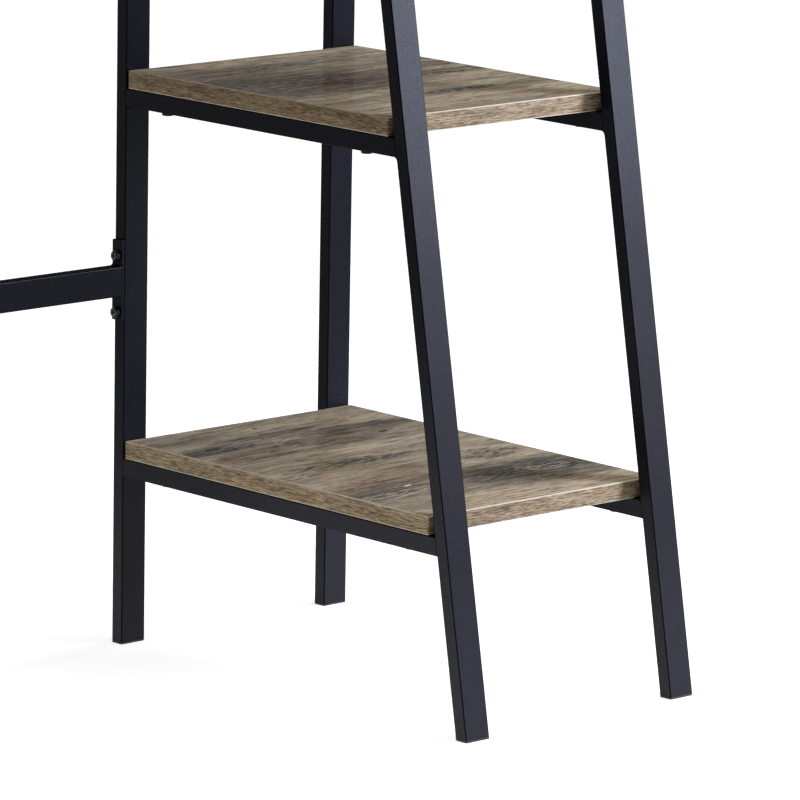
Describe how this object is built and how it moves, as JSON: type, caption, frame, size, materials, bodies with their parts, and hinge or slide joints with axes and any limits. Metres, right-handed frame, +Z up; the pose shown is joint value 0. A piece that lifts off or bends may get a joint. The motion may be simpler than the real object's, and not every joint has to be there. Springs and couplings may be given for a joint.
{
  "type": "ladder desk with shelf tower",
  "caption": "Writing desk with an open shelf tower at one end: wood-look boards on rails between upright rear legs and leaning front legs of black steel tube.",
  "frame": {"origin": "middle of the footprint, on the floor", "axes": "+X from the end frame towards the shelf tower, +Y towards the back, +Z up"},
  "size_m": [1.2, 0.52, 1.321],
  "materials": {
    "powder_coat": "black powder coat, fine sandy texture",
    "oak_board": "weathered oak laminate with banded edges",
    "foot_plastic": "matte black",
    "black_screw": "black zinc"
  },
  "bodies": {
    "root": {"tower_left_rear_leg": "powder_coat", "tower_left_front_leg": "powder_coat", "tower_right_rear_leg": "powder_coat", "tower_right_front_leg": "powder_coat", "end_frame_rear_leg": "powder_coat", "end_frame_front_leg": "powder_coat", "tower_left_rail_1": "powder_coat", "tower_left_rail_2": "powder_coat", "tower_left_rail_3": "powder_coat", "tower_left_rail_4": "powder_coat", "tower_right_rail_1": "powder_coat", "tower_right_rail_2": "powder_coat", "tower_right_rail_3": "powder_coat", "tower_right_rail_4": "powder_coat", "end_frame_low_rail": "powder_coat", "end_frame_top_rail": "powder_coat", "stretcher": "powder_coat", "stretcher_left_plate": "powder_coat", "stretcher_right_plate": "powder_coat", "desktop_cleat": "powder_coat", "shelf_1": "oak_board", "shelf_2": "oak_board", "shelf_3": "oak_board", "top_shelf": "oak_board", "desktop": "oak_board", "tower_left_rear_foot": "foot_plastic", "tower_left_front_foot": "foot_plastic", "tower_right_rear_foot": "foot_plastic", "tower_right_front_foot": "foot_plastic", "end_frame_rear_foot": "foot_plastic", "end_frame_front_foot": "foot_plastic", "stretcher_left_upper_bolt": "black_screw", "stretcher_left_lower_bolt": "black_screw", "stretcher_right_upper_bolt": "black_screw", "stretcher_right_lower_bolt": "black_screw", "cleat_rear_bolt": "black_screw", "cleat_front_bolt": "black_screw", "shelf_1_left_back_screw": "black_screw", "shelf_1_left_front_screw": "black_screw", "shelf_1_right_back_screw": "black_screw", "shelf_1_right_front_screw": "black_screw", "shelf_2_left_back_screw": "black_screw", "shelf_2_left_front_screw": "black_screw", "shelf_2_right_back_screw": "black_screw", "shelf_2_right_front_screw": "black_screw", "shelf_3_left_back_screw": "black_screw", "shelf_3_left_front_screw": "black_screw", "shelf_3_right_back_screw": "black_screw", "shelf_3_right_front_screw": "black_screw", "top_shelf_left_back_screw": "black_screw", "top_shelf_left_front_screw": "black_screw", "top_shelf_right_back_screw": "black_screw", "top_shelf_right_front_screw": "black_screw", "desktop_left_back_screw": "black_screw", "desktop_left_front_screw": "black_screw", "desktop_right_back_screw": "black_screw", "desktop_right_front_screw": "black_screw"}
  },
  "joints": []
}
